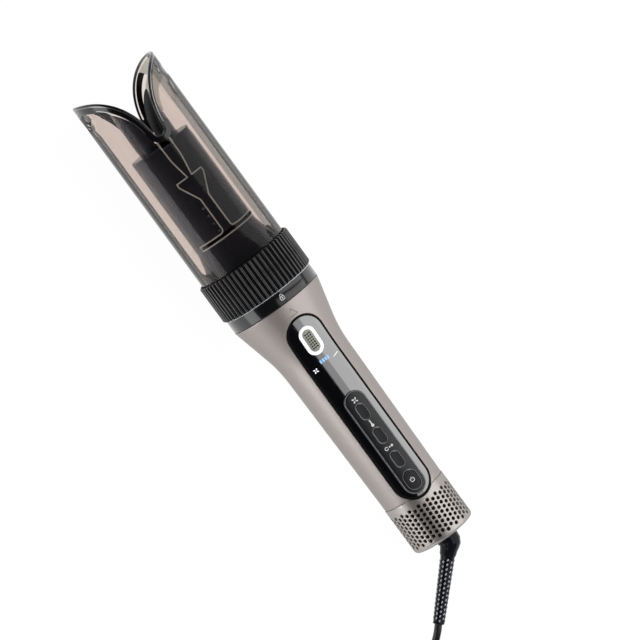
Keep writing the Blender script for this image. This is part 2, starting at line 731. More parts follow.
@material
def smoked(tree, bsdf, tint):
    """Clear smoked plastic; its shadow stays light, as thin plastic's does."""
    calc = functools.partial(math_node, tree)
    step = functools.partial(smooth_step, tree)
    group = use_grain(tree, bsdf, tint, 0.03, drift=0.03, spread=0.02)
    place = node(tree, "ShaderNodeTexCoord")["Object"]
    across = node(tree, "ShaderNodeSeparateXYZ", {0: place})["X"]
    forward = (0, -math.sin(LIE), math.cos(LIE))
    ahead = node(tree, "ShaderNodeVectorMath", {0: place, 1: forward}, operation="DOT_PRODUCT")["Value"]
    level = (math.cos(LIE) * PLACE_Z - math.sin(LIE) * PLACE_Y) / 1000
    facing = node(tree, "ShaderNodeLayerWeight", {"Blend": 0.5})["Facing"]
    right = step(across, -0.001, 0.001)
    # a pale band along the right side, and dark edges where the wall is seen aslant
    band = calc("MULTIPLY", step(across, 0.0172, 0.0186), step(ahead, level, level + 0.002))
    left_edge = calc("MULTIPLY", step(facing, 0.54, 0.61), calc("SUBTRACT", 1.0, right))
    right_edge = calc("MULTIPLY", step(facing, 0.58, 0.66), right)
    colour = group["Colour"]
    for share, tone in ((band, (0.375, 0.36, 0.345, 1)), (left_edge, (0.0006, 0.0004, 0.0003, 1)),
                        (right_edge, (0.0012, 0.0011, 0.001, 1))):
        colour = node(tree, "ShaderNodeMix", {"Factor": share, "A": colour, "B": tone}, data_type="RGBA")["Result"]
    plug_in(tree, bsdf, {"Base Color": colour, "Transmission Weight": 1.0, "IOR": 1.28})
    clear = node(tree, "ShaderNodeBsdfTransparent", {"Color": (0.80, 0.74, 0.69, 1)})
    mix = node(tree, "ShaderNodeMixShader", {
        0: node(tree, "ShaderNodeLightPath")["Is Shadow Ray"], 1: bsdf.outputs[0], 2: clear[0]})
    plug_in(tree, tree.nodes["Material Output"], {"Surface": mix[0]})


# ---------------------------------------------------------------- geometry-node trees

def geometry_tree(name, inputs):
    """A geometry tree; the geometry that comes in isn't used, and the inputs are in millimetres."""
    inputs = [("Geometry", "Geometry", None)] + inputs + [("Material", "Finish", None)]
    return new_tree(name, "GeometryNodeTree", inputs, [("Geometry", "Geometry")])


def placed_copies(tree, points, shape, inputs=None):
    """Real copies of a shape on points."""
    copies = node(tree, "GeometryNodeInstanceOnPoints", {"Points": points, "Instance": shape, **(inputs or {})})
    return node(tree, "GeometryNodeRealizeInstances", {0: copies[0]})[0]


def finished(tree, head, tail, shape):
    painted = node(tree, "GeometryNodeSetMaterial", {"Geometry": shape, "Material": head["Finish"]})
    plug_in(tree, tail, {"Geometry": painted[0]})
    return tree


def run_tree(name, tree, finish, values, matrix=LAY, weld=0.0):
    """Runs a tree with its named inputs, and gives back the plain mesh's object."""
    obj = add_object(name, bpy.data.meshes.new(name))
    mod = obj.modifiers.new("build", "NODES")
    mod.node_group = tree
    values = {**values, "Finish": finish}
    for item in tree.interface.items_tree:
        if item.item_type == "SOCKET" and item.in_out == "INPUT" and item.name in values:
            mod[item.identifier] = values[item.name]
    bake(obj)
    if weld:
        weld_mesh(obj, weld)
    if matrix is not None:
        obj.data.transform(matrix)
    obj.data.materials.clear()
    obj.data.materials.append(finish)
    return obj


def rib_tree():
    """Ribs spaced evenly round the axis."""
    tree, head, tail = geometry_tree("Collar ribs", [
        ("Int", "Count", 60), ("Float", "Radius", 30.5), ("Object", "Rib", None)])
    circle = node(tree, "GeometryNodeMeshCircle", {"Vertices": head["Count"], "Radius": head["Radius"]})
    rib = node(tree, "GeometryNodeObjectInfo", {"Object": head["Rib"]})["Geometry"]
    index = node(tree, "GeometryNodeInputIndex")[0]
    step = math_node(tree, "DIVIDE", 2 * math.pi, head["Count"])
    turn = node(tree, "ShaderNodeCombineXYZ", {"Z": math_node(tree, "MULTIPLY", index, step)})[0]
    return finished(tree, head, tail, placed_copies(tree, circle["Mesh"], rib, {"Rotation": turn}))


def wrapped_tree():
    """Copies of one shape in staggered columns, laid flat and then wrapped round a cylinder or a cone."""
    tree, head, tail = geometry_tree("Staggered wrap", [
        ("Int", "Columns", 40), ("Int", "Rows", 8), ("Float", "Pitch", 3.04), ("Float", "Start", 4.0),
        ("Float", "Radius", 20.5), ("Float", "Slope", 0.0), ("Float", "Drop last", 1.0), ("Object", "Shape", None)])
    calc = functools.partial(math_node, tree)
    columns, rows, radius = head["Columns"], head["Rows"], head["Radius"]
    last_column, last_row = calc("SUBTRACT", columns, 1.0), calc("SUBTRACT", rows, 1.0)
    grid = node(tree, "GeometryNodeMeshGrid", {
        "Vertices X": columns, "Vertices Y": rows, "Size X": last_column, "Size Y": last_row})["Mesh"]
    at = node(tree, "ShaderNodeSeparateXYZ", {0: node(tree, "GeometryNodeInputPosition")[0]})
    column = calc("ROUND", calc("MULTIPLY_ADD", last_column, 0.5, at["X"]))
    row = calc("ROUND", calc("MULTIPLY_ADD", last_row, 0.5, at["Y"]))
    odd = calc("MODULO", column, 2.0)
    # odd columns stand half a step higher and lose their last copy
    gone = calc("MULTIPLY", calc("MULTIPLY", calc("COMPARE", row, last_row, 0.1), odd), head["Drop last"])
    height = calc("ADD", calc("MULTIPLY", calc("MULTIPLY_ADD", odd, 0.5, row), head["Pitch"]), head["Start"])
    width = calc("DIVIDE", calc("MULTIPLY", radius, 2 * math.pi), columns)
    flat = node(tree, "ShaderNodeCombineXYZ", {"X": calc("MULTIPLY", column, width), "Z": height})
    # the row is read before the points move, so the mark is stored first
    marked = node(tree, "GeometryNodeStoreNamedAttribute", {"Geometry": grid, "Name": "gone", "Value": gone},
                  data_type="FLOAT")["Geometry"]
    moved = node(tree, "GeometryNodeSetPosition", {"Geometry": marked, "Position": flat[0]})["Geometry"]
    mark = node(tree, "GeometryNodeInputNamedAttribute", {"Name": "gone"}, data_type="FLOAT")["Attribute"]
    kept = node(tree, "GeometryNodeDeleteGeometry", {
        "Geometry": moved, "Selection": calc("GREATER_THAN", mark, 0.5)})
    shape = node(tree, "GeometryNodeObjectInfo", {"Object": head["Shape"]})["Geometry"]
    real = placed_copies(tree, kept[0], shape)
    at = node(tree, "ShaderNodeSeparateXYZ", {0: node(tree, "GeometryNodeInputPosition")[0]})
    angle = calc("DIVIDE", at["X"], radius)
    reach = calc("SUBTRACT", calc("MULTIPLY_ADD", at["Z"], head["Slope"], radius), at["Y"])
    wrap = node(tree, "ShaderNodeCombineXYZ", {
        "X": calc("MULTIPLY", reach, calc("SINE", angle)),
        "Y": calc("MULTIPLY", calc("MULTIPLY", reach, calc("COSINE", angle)), -1.0), "Z": at["Z"]})
    bent = node(tree, "GeometryNodeSetPosition", {"Geometry": real, "Position": wrap[0]})
    return finished(tree, head, tail, bent["Geometry"])


def dimple_tree():
    """A small field of dots in rows, dropped along the front-back way onto a target."""
    tree, head, tail = geometry_tree("Dot field", [
        ("Int", "Across", 3), ("Int", "Along", 7), ("Float", "Width", 3.2), ("Float", "Length", 9.0),
        ("Float", "Middle", 140.5), ("Float", "Dot", 0.5), ("Object", "Target", None)])
    grid = node(tree, "GeometryNodeMeshGrid", {
        "Vertices X": head["Across"], "Vertices Y": head["Along"],
        "Size X": head["Width"], "Size Y": head["Length"]})
    at = node(tree, "ShaderNodeSeparateXYZ", {0: node(tree, "GeometryNodeInputPosition")[0]})
    stand = node(tree, "ShaderNodeCombineXYZ", {
        "X": at["X"], "Y": -80.0, "Z": math_node(tree, "ADD", at["Y"], head["Middle"])})
    moved = node(tree, "GeometryNodeSetPosition", {"Geometry": grid["Mesh"], "Position": stand[0]})
    target = node(tree, "GeometryNodeObjectInfo", {"Object": head["Target"]})["Geometry"]
    ray = node(tree, "GeometryNodeRaycast", {
        "Target Geometry": target, "Ray Direction": (0, 1, 0), "Ray Length": 200.0})
    dropped = node(tree, "GeometryNodeSetPosition", {
        "Geometry": moved["Geometry"], "Position": ray["Hit Position"]})
    dot = node(tree, "GeometryNodeMeshIcoSphere", {"Subdivisions": 2, "Radius": head["Dot"]})["Mesh"]
    copies = placed_copies(tree, dropped["Geometry"], dot, {"Scale": (1.0, 0.35, 0.8)})
    return finished(tree, head, tail, copies)


# ---------------------------------------------------------------- operators

# name, place, aim, width, length and power of each lamp
LAMPS = (
    ("Right softbox", (0.53, -0.62, 0.58), (0.15, -0.62, -0.05), 1.44, 1.0, 3.6),
    ("Right inner softbox", (0.694, -0.62, 0.481), (0.314, -0.62, -0.149), 1.06, 1.0, 2.0),
    ("Tail softbox", (0.694, -0.82, 0.481), (0.314, -0.82, -0.149), 1.06, 0.6, 2.6),
    ("Head fill", (0.56, 0.2, 0.57), (0.0, 0.2, 0.0), 1.06, 0.55, 2.6),
    ("Left strip", (-0.75, 0.08, 0.24), (0.0, 0.08, 0.07), 0.4, 0.75, 2.1),
    ("Left tail strip", (-0.75, -1.15, 0.24), (0.0, -0.4, 0.07), 0.4, 0.5, 1.9),
)
CAMERA_LENS, CAMERA_AWAY, CAMERA_AIM = 316.0, 3.3, (15.5, 0, 145.6)
VIEW_ALONG, VIEW_ASIDE = math.radians(7.0), math.radians(10.2)
LEAN = math.atan2(0.591, 0.807)
FLOOR_SIZE = 6.0


def axes_matrix(x, y, z, place):
    turn = Matrix((x, y, z)).transposed().to_4x4()
    turn.translation = place
    return turn


def behind_clear(tree, path, bounces):
    """1 on a ray that has come straight through the clear cover; what comes after a bounce is light."""
    return math_node(tree, "MULTIPLY", path["Is Transmission Ray"], math_node(tree, "LESS_THAN", bounces, 0.5))


@material
def paper(tree, bsdf):
    """Floor paper that looks white, but keeps the shadow."""
    calc = functools.partial(math_node, tree)
    group = grain_node(tree, (0.88, 0.88, 0.88), 0.9, drift=0.01)
    plug_in(tree, bsdf, {"Base Color": group["Colour"], "Roughness": 0.9, "Specular IOR Level": 0.0})
    path = node(tree, "ShaderNodeLightPath")
    through = behind_clear(tree, path, path["Diffuse Depth"])
    seen = calc("MAXIMUM", path["Is Camera Ray"], calc("MAXIMUM", path["Is Glossy Ray"], through))
    lit = node(tree, "ShaderNodeEmission", {"Color": (1, 1, 1, 1), "Strength": 1.12})
    share = node(tree, "ShaderNodeMixShader", {0: calc("MULTIPLY", seen, 0.86), 1: bsdf.outputs[0], 2: lit[0]})
    plug_in(tree, tree.nodes["Material Output"], {"Surface": share[0]})


def light_world(tree):
    """White where it is seen, and a dim light that is brighter near the horizon."""
    path = node(tree, "ShaderNodeLightPath")
    bounces = math_node(tree, "ADD", path["Diffuse Depth"], path["Glossy Depth"])
    shown = math_node(tree, "MAXIMUM", path["Is Camera Ray"], behind_clear(tree, path, bounces))
    height = node(tree, "ShaderNodeSeparateXYZ", {0: node(tree, "ShaderNodeTexCoord")["Generated"]})["Z"]
    dim = smooth_step(tree, height, 0.05, 0.6, {"To Min": 0.22, "To Max": 0.004})
    strength = math_node(tree, "MULTIPLY_ADD", shown, math_node(tree, "SUBTRACT", 1.0, dim), dim)
    plug_in(tree, tree.nodes["Background"], {"Color": (1, 1, 1, 1), "Strength": strength})


class CURLER_OT_stage(bpy.types.Operator):
    """Camera, floor and studio light"""
    bl_idname = "curler.stage"
    bl_label = "Stage"

    def execute(self, context):
        scene = context.scene
        front = (LAY.to_3x3() @ Vector((0, -1, 0))).normalized()
        along = (LAY.to_3x3() @ Vector((0, 0, 1))).normalized()
        right = Vector((1, 0, 0))
        way = (front + along * math.tan(VIEW_ALONG) - right * math.tan(VIEW_ASIDE)).normalized()
        up_tool = (along - way * along.dot(way)).normalized()
        right_tool = up_tool.cross(way)
        data = bpy.data.cameras.new("Camera")
        data.lens, data.sensor_width = CAMERA_LENS, 36.0
        data.clip_start, data.clip_end = 0.1, 30.0
        camera = add_object("Camera", data)
        camera.matrix_world = axes_matrix(
            right_tool * math.cos(LEAN) - up_tool * math.sin(LEAN),
            up_tool * math.cos(LEAN) + right_tool * math.sin(LEAN),
            way, LAY @ Vector(CAMERA_AIM) + way * CAMERA_AWAY)
        scene.camera = camera
        scene.view_settings.view_transform = "Standard"

        corners = [(x * FLOOR_SIZE, y * FLOOR_SIZE, 0) for x, y in ((-1, -1), (1, -1), (1, 1), (-1, 1))]
        mesh_object("Floor", corners, [(0, 1, 2, 3)], paper("Floor paper"), weld=0)
        scene.world = bpy.data.worlds.new("Studio")
        scene.world.use_nodes = True
        light_world(scene.world.node_tree)

        for name, spot, aim, width, length, power in LAMPS:
            lamp = bpy.data.lights.new(name, "AREA")
            lamp.shape = "RECTANGLE"
            lamp.size, lamp.size_y, lamp.energy = width, length, power
            obj = add_object(name, lamp)
            look = (Vector(spot) - Vector(aim)).normalized()
            side = Vector((0, 1, 0)).cross(look).normalized()
            obj.matrix_world = axes_matrix(side, look.cross(side), look, Vector(spot))
            obj.visible_camera = obj.visible_transmission = False
        return {"FINISHED"}


RUN = [(-43.5, -216.3, 7.8), (-48.6, -223.5, 5), (-52.9, -231.5, 3.3), (-56.7, -240, 2.7), (-60.3, -248.5, 2.9)]
END = [(-67.2, -285, 17.2), (-67.2, -293, 13), (-67.2, -301, 7.6), (-67, -308.5, 4), (-64.6, -316.5, 2.5),
       (-59.6, -324.5, 3.2), (-53.5, -331, 6.6), (-48.2, -334.4, 10.6)]
COIL = dict(x=-32.0, y=-272.0, mid=27.0, pitch=5.2, turns=14.06, layers=4, start=158.0, lift=0.9, climb=0.5)
PLUG = (-44.0, -335.0, 13.0)
CORD_START, CORD_LEAD, CORD_BLEND = 50.3, 4.6, 0.024


def coil_points(cord_r, steps=30):
    """The coil's layers: each one winds in or out, and a climb joins it to the next."""
    c = COIL
    layer_turns = (c["turns"] - (c["layers"] - 1) * c["climb"]) / c["layers"]
    outer = c["mid"] + c["pitch"] * layer_turns / 2
    inner = c["mid"] - c["pitch"] * layer_turns / 2
    step = layer_turns + c["climb"]
    count = int(math.ceil(c["turns"] * steps))
    points = []
    for i in range(count + 1):
        u = c["turns"] * i / count
        layer = min(c["layers"] - 1, int(u / step))
        v = u - layer * step
        near, sign = (outer, -1) if layer % 2 else (inner, 1)
        if v <= layer_turns:
            r = near + sign * c["pitch"] * (layer_turns - v)
            level = layer
        else:
            w = v - layer_turns
            r = near + sign * c["pitch"] * (2 * w * w - w)
            t = w / c["climb"]
            level = layer + t * t * (3 - 2 * t)
        a = math.radians(c["start"] + 360 * u)
        height = c["lift"] + cord_r + c["pitch"] * level
        points.append(Vector((c["x"] + r * math.cos(a), c["y"] + r * math.sin(a), height)))
    return points


def arm_matrix():
    """From the elbow arm's own frame, along +Z, to the tool's frame."""
    return (Matrix.Rotation(math.radians(-DROOP), 4, "Z") @ Matrix.Translation((0, 0, -ELBOW_DROP))
            @ Matrix.Rotation(math.radians(180 + ELBOW_ANGLE), 4, "Y"))


class CURLER_OT_cord(bpy.types.Operator):
    """Mains cord: from the strain relief to its coil and on to the plug"""
    bl_idname = "curler.cord"
    bl_label = "Mains cord"

    def execute(self, context):
        radius = mm(sizes().cord_diameter) / 2
        arm = LAY @ arm_matrix()
        tip = (arm @ Vector((0, 0, CORD_START))) * 1000
        way = (arm.to_3x3() @ Vector((0, 0, 1))).normalized()
        coil = coil_points(radius)
        a0 = math.radians(COIL["start"])
        a1 = math.radians(COIL["start"] + 360 * COIL["turns"])
        entry = coil[0] - Vector((-math.sin(a0), math.cos(a0), 0)) * CORD_LEAD
        leave = coil[-1] + Vector((-math.sin(a1), math.cos(a1), 0)) * CORD_LEAD
        path = smooth_path([tip, tip + way * 5] + RUN + [entry]) + coil + smooth_path([leave] + END + [PLUG])
        cord = mesh_object("mains_cord", *tube_along(path, radius), plain("Cord rubber"), WORLD, weld=0)
        shade(cord, 60)
        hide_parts("cord_run", "cord_coil", "cord_end")
        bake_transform(cord)
        return {"FINISHED"}


def superellipse(half_w, half_h, power, sides):
    points = []
    for i in range(sides):
        a = 2 * math.pi * (i + 0.5) / sides
        c, s = math.cos(a), math.sin(a)
        points.append((half_w * math.copysign(abs(c) ** (2 / power), c),
                       half_h * math.copysign(abs(s) ** (2 / power), s)))
    return points


# Sections of the plug's grip: distance along the plug, half width, half thickness, squareness
PLUG_GRIP = [
    (14.0, 6.2, 5.6, 2.2), (17, 9.2, 8.2, 2.4), (22, 13.2, 11.2, 2.8), (28, 16.0, 12.6, 3.2), (33, 17.2, 12.9, 3.6),
    (38, 17.6, 12.7, 3.8), (43, 17.9, 12.8, 4.0), (47.5, 18.3, 12.95, 4.0), (50.8, 18.3, 12.95, 4.0),
    (51.6, 18.1, 12.7, 4.0), (52, 17.4, 12.1, 4.0)]
PIN = [(0.0, 45.0), (2.38, 45.0), (2.4, 69.6), (2.2, 70.4), (1.6, 71.0), (0.0, 71.0)]
PIN_SLEEVE = [(2.42, 51.0), (2.5, 51.6), (2.5, 61.6), (2.42, 62.0)]
PIN_APART, PLUG_SIDES, TIE_SIDES = 9.5, 56, 96


class CURLER_OT_plug(bpy.types.Operator):
    """Moulded mains plug, its contacts and the strap round the coil"""
    bl_idname = "curler.plug"
    bl_label = "Plug and tie"

    def execute(self, context):
        sections = [(0, 3.3, 3.3, 2), (0.6, 3.6, 3.6, 2)]
        for k in range(5):
            z, r = 1.2 + 2.4 * k, 3.7 + 0.28 * k
            sections += [(z + dz, r + dr, r + dr, 2) for dz, dr in ((0, 0), (0.35, 0.45), (1.15, 0.45), (1.5, 0))]
        sections += PLUG_GRIP
        verts = []
        for z, w, h, power in sections:
            verts += [(x, y, z) for x, y in superellipse(h, w, power, PLUG_SIDES)]
        local = WORLD @ (Matrix.Translation(PLUG) @ Matrix.Rotation(math.radians(90), 4, "Y"))
        body = mesh_object("mains_plug", verts, capped(len(sections), PLUG_SIDES), None, local, weld=0)
        finish_piece(body, plain("Cord rubber"), "handle", "plug_body", None, 38)

        shapes = []
        for name, profile, finish in (("pins", PIN, "Nickel plate"), ("guards", PIN_SLEEVE, "Cord rubber")):
            verts, faces = revolve(profile, 32)
            pair = merged([([(x, y + side * PIN_APART, z) for x, y, z in verts], faces) for side in (-1, 1)])
            shapes.append(mesh_object(name, *pair, plain(finish), local))
        finish_piece(join("plug_contacts", shapes), None, "handle", "plug_pins", None, 40)

        low, high = (corner * 1000 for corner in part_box("cord_tie"))
        mid, half = (low + high) / 2, (high - low) / 2
        verts = []
        for x, z in superellipse(half.x - 0.35, half.z - 0.35, 9, TIE_SIDES):
            d = Vector((x, z)).normalized()
            for t, y in ((-0.33, -3.9), (-0.33, 3.9), (0.33, 3.9), (0.33, -3.9)):
                verts.append((mid.x + x + d.x * t, COIL["y"] + y, mid.z + z + d.y * t))
        tie = face_out(mesh_object("coil_tie", verts, quads(TIE_SIDES, 4, wrap=True, turned=True)))
        soften(tie, 0.2, 2, 50)
        weave = woven("Tie weave", (0.014, 0.014, 0.016), 0.8)
        finish_piece(tie, weave, "handle", "cord_tie", WORLD, 40)
        return {"FINISHED"}


ELBOW_END_R, RELIEF_R, RELIEF_LEN = 4.9, 4.3, 42.0
BEAD_ROWS, BEAD_SIDES = 4, 12
BEAD_X, BEAD_Y, BEAD_Z = 0.62, 0.5, 0.86


class CURLER_OT_elbow(bpy.types.Operator):
    """Swivel elbow and the dimpled strain relief"""
    bl_idname = "curler.elbow"
    bl_label = "Elbow and strain relief"

    def execute(self, context):
        arm = arm_matrix()
        p0, p1 = Vector((0, 0, -3.2)), Vector((0, 0, -7.4))
        p2, p3 = arm @ Vector((0, 0, 2.0)), arm @ Vector((0, 0, 8.4))
        points = [Vector((0, 0, z)) for z in (1.0, 0, -1.6)]
        radii = [STUB_R] * 3
        for t in (k / 5 for k in range(6)):
            points.append(p0 * (1 - t) ** 3 + p1 * 3 * t * (1 - t) ** 2 + p2 * 3 * t * t * (1 - t) + p3 * t ** 3)
            radii.append((STUB_R + (ELBOW_END_R - STUB_R) * (t * t * (3 - 2 * t)))
                         * (1.0 + 0.05 * math.sin(math.pi * t)))
        points.append(arm @ Vector((0, 0, 8.6)))
        radii.append(4.6)
        elbow = join("swivel_elbow", [
            mesh_object("swivel_elbow", *tube_along(points, radii, sides=16), weld=0),
            mesh_object("inner", *revolve([(0.0, 6.5), (8.6, 6.5), (8.6, 8.0), (7.0, 8.0), (0.0, 8.0)], 48)),
            mesh_object("stub", *revolve([(7.0, 1.0), (7.0, 6.5)], 48))])
        finish_piece(elbow, plain("Relief rubber"), "cord_swivel", "cord_elbow", angle=16)

        profile = [(0.0, 8.0), (4.3, 8.0), (4.55, 8.3), (4.55, 9.0), (4.3, 9.3)]
        for t in (i / 19 for i in range(1, 20)):
            profile.append((RELIEF_R - 0.85 * t, 9.3 + (RELIEF_LEN - 2.4) * t))
        profile += [(3.55, 49.2), (3.4, 49.7), (2.9, 50.0), (0.0, 50.0)]
        core = mesh_object("core", *revolve(profile, 48), plain("Relief rubber"), LAY @ arm)
        verts = []
        for t in (math.pi / 2 * i / BEAD_ROWS for i in range(BEAD_ROWS + 1)):
            for a in (2 * math.pi * k / BEAD_SIDES for k in range(BEAD_SIDES)):
                verts.append((BEAD_X * math.cos(t) * math.cos(a), -BEAD_Y * math.sin(t),
                              BEAD_Z * math.cos(t) * math.sin(a)))
        bead = mesh_object("bead", verts, quads(BEAD_ROWS + 1, BEAD_SIDES))
        beads = run_tree("beads", wrapped_tree(), plain("Relief bead"), {
            "Columns": 10, "Rows": 14, "Pitch": 2.82, "Start": 11.0, "Radius": 4.4, "Slope": -0.0215,
            "Drop last": 1.0, "Shape": bead}, LAY @ arm, weld=0.002)
        remove(bead)
        relief = join("dimpled_relief", [core, beads])
        finish_piece(relief, None, "cord_swivel", "strain_relief", None, 50)
        return {"FINISHED"}


SEAM = 0.15
SHELL_WALL, SHELL_ROWS = 2.0, 90
# (inset, height) round the panel's opening
OPENING_RIM = [(0.0, -1.4), (0.0, -0.03), (0.02, 0.0), (0.25, 0.0), (0.32, -0.02), (0.40, -0.09), (0.44, -0.2),
               (0.45, -1.4)]
PANEL_MID, PAD_MID = Z_PANEL + PANEL_LEN / 2, Z_PAD + PAD_LEN / 2


class CURLER_OT_handle(bpy.types.Operator):
    """The two painted handle shells, with the seam along the sides"""
    bl_idname = "curler.handle"
    bl_label = "Handle shells"

    def execute(self, context):
        heights = [Z_HANDLE + (Z_NECK - Z_HANDLE) * i / SHELL_ROWS for i in range(SHELL_ROWS + 1)]
        width = mm(sizes().panel_width)
        paint = flaked("Champagne paint", colours().champagne, 0.42, 0.10, coated(0.12, 0.3, Metallic=0.68))
        for name, start, replaced in (("front_shell", -90, "handle_front_shell"),
                                      ("rear_shell", 90, "handle_rear_shell")):
            profile = [(handle_r(z), z) for z in heights]
            shell = mesh_object(name, *revolve(profile, 96, start + SEAM, start + 180 - SEAM))
            thick = shell.modifiers.new("wall", "SOLIDIFY")
            thick.thickness = SHELL_WALL
            thick.offset = -1
            bake(shell)
            soften(shell, 0.28, 3, 50)
            if name == "front_shell":
                cut(shell, [stadium_cutter(width + 1.3, PANEL_LEN + 1.3, PANEL_MID, back=0.0, arc=28)])
                rim = mesh_object("rim", *stadium_loft(
                    width + 1.4, PANEL_LEN + 1.4, PANEL_MID, OPENING_RIM, ring=True, arc=28))
                with edited(rim.data) as work:
                    bmesh.ops.bisect_plane(
                        work, geom=work.verts[:] + work.edges[:] + work.faces[:],
                        plane_co=(0, 0, Z_HANDLE + 0.02), plane_no=(0, 0, -1), clear_outer=True)
                shell = join(name, [shell, rim])
            finish_piece(shell, paint, "handle", replaced, angle=30)

        # the arrow that points to the lock
        arrow = [line((-2.6, 160.6), (2.6, 160.6)), line((2.6, 160.6), (0, 165.2)), line((0, 165.2), (-0.9, 163.6))]
        mark = mesh_object("lock_arrow", *merged([strip(p, 0.28, on_handle, 0.05) for p in arrow]), weld=0)
        finish_piece(mark, plain("Dark print"), "handle")
        return {"FINISHED"}


# Sections as (inset, height): the bed under the panel, the pad with its raised bead, the bead round a key
PANEL_BED = [(0.3, -1.6), (0.0, -1.5), (0.0, -0.9), (1.4, -0.9), (1.5, -1.6)]
PAD_SECTION = [
    (0.0, -0.3), (0.0, 0.72), (0.05, 0.92), (0.18, 1.08), (0.38, 1.16), (0.58, 1.12), (0.74, 1.0), (0.84, 0.84),
    (0.95, 0.78), (1.15, 0.78), (1.35, 0.84), (1.6, 0.88), (2.4, 0.9), (3.6, 0.9), (5.2, 0.9), (6.85, 0.9)]
PAD_BEAD_ROWS = (4, 5)
KEY_BEAD = [(0.0, 0.8), (0.08, 0.98), (0.26, 0.98), (0.34, 0.8)]
# height, width and length of each opening in the pad
PAD_OPENINGS = ((Z_FAN, 5.4, 10.8), (Z_HEAT, 5.4, 10.8), (Z_TIMER, 5.4, 10.8), (Z_POWER, 8.6, 12.6))
MARK_LIFT, LAMP_LIFT = 0.94, 0.04
BAR_W, BAR_L, BAR_STEP = 1.12, 2.1, 1.75
BAR_SECTION = ((0.0, -0.3), (0.0, 0.03), (0.12, 0.1), (0.3, 0.12))


def fan_mark(x, z, size, h):
    """Four blades round a place."""
    return [blob(x + size * math.cos(math.radians(a)), z + size * math.sin(math.radians(a)), size * 0.62,
                 size * 0.36, a + 18, on_handle, h) for a in (45, 135, 225, 315)]


def dot(x, z, r):
    return blob(x, z, r, r, 0, on_handle, MARK_LIFT)


class CURLER_OT_panel(bpy.types.Operator):
    """Display panel, control pad and their lit marks"""
    bl_idname = "curler.panel"
    bl_label = "Panel and pad"

    def execute(self, context):
        width, pad_w = mm(sizes().panel_width), mm(sizes().pad_width)
        panel = mesh_object("display_glass", *stadium_cap(width, PANEL_LEN, PANEL_MID, -1.1, 0.0, 0.16, rings=12),
                            plain("Panel gloss black"))
        # the side and the rounded edge are matt
        panel.data.materials.append(plain("Slot matte black"))
        for poly in panel.data.polygons[:6 * len(stadium_ring(width, PANEL_LEN, 0)[0])]:
            poly.material_index = 1
        cut(panel, [stadium_cutter(6.24, 14.44, Z_CURL)])
        finish_piece(panel, None, "handle", "display_panel", angle=40)
        bed = mesh_object("panel_bed", *stadium_loft(width + 1.2, PANEL_LEN + 1.2, PANEL_MID, PANEL_BED, ring=True))
        finish_piece(bed, plain("Inner moulding"), "handle", None)

        pad = mesh_object("control_pad_skin", *stadium_loft(pad_w, PAD_LEN, PAD_MID, PAD_SECTION, arc=24, step=1.0),
                          plain("Pad satin black"))
        pad.data.materials.append(plain("Pad bead"))
        ring = len(stadium_ring(pad_w, PAD_LEN, 0, 1.0, 24)[0])
        for row in PAD_BEAD_ROWS:
            for poly in pad.data.polygons[row * ring:(row + 1) * ring]:
                poly.material_index = 1
        beads = [stadium_loft(w + 0.7, l + 0.7, z, KEY_BEAD, ring=True, step=1.0) for z, w, l in PAD_OPENINGS]
        cut(pad, [stadium_cutter(w, l, z) for z, w, l in PAD_OPENINGS])
        soften(pad, 0.1, 2, 55)
        pad = join("control_pad_skin", [pad, mesh_object("beads", *merged(beads), plain("Pad bead"))])
        finish_piece(pad, None, "handle", "control_pad", angle=30)

        # fan, thermometer and timer
        marks = fan_mark(0, 98.3, 1.2, MARK_LIFT) + [
            strip(line((0, 80.6), (0, 83.5)), 0.75, on_handle, MARK_LIFT), dot(0, 80.2, 0.95), dot(0, 83.6, 0.38),
            strip(arc_line(-1.7, 64.0, 0.95, 20, 340), 0.42, on_handle, MARK_LIFT), dot(0.5, 64.0, 0.5),
            dot(2.2, 64.0, 0.72)]
        printed = mesh_object("pad_marks", *merged(marks), weld=0)
        finish_piece(printed, print_white(), "handle", None)

        # the lit fan and wave beside the level lights
        lamps = fan_mark(-7.9, 125.6, 1.0, LAMP_LIFT)
        lamps.append(strip([(5.6, 126.3), (6.7, 126.55), (7.8, 126.8), (9.3, 127.1)], 0.34, on_handle, LAMP_LIFT))
        lit = mesh_object("panel_marks", *merged(lamps), weld=0)
        finish_piece(lit, glow("White lamp", (0.85, 0.9, 1.0), 1.0), "handle", None)

        bars = []
        for x in ((i - 1.5) * BAR_STEP for i in range(4)):
            verts = []
            for inset, h in BAR_SECTION:
                w, l = BAR_W / 2, BAR_L / 2
                for px, pz in ((x + w - inset, -l + inset), (x + w - inset, l - inset),
                               (x - w + inset, l - inset), (x - w + inset, -l + inset)):
                    verts.append(on_handle(px, Z_LIGHTS + pz, h))
            bars.append((verts, quads(4, 4) + [(12, 13, 14, 15), (3, 2, 1, 0)]))
        bar = mesh_object("level_bars", *merged(bars))
        finish_piece(bar, glow("Blue lamp", colours().lights, 0.75), "handle", "level_lights")
        return {"FINISHED"}


# (inset, height) of the light guide round the curl button
GUIDE_W, GUIDE_L, GUIDE_BAND = 10.6, 18.8, 2.1
GUIDE = [(0.0, -1.6), (0.0, 0.12), (0.07, 0.24), (0.22, 0.3), (1.05, 0.32), (1.88, 0.3), (2.03, 0.24),
         (GUIDE_BAND, 0.12), (GUIDE_BAND, -1.6)]


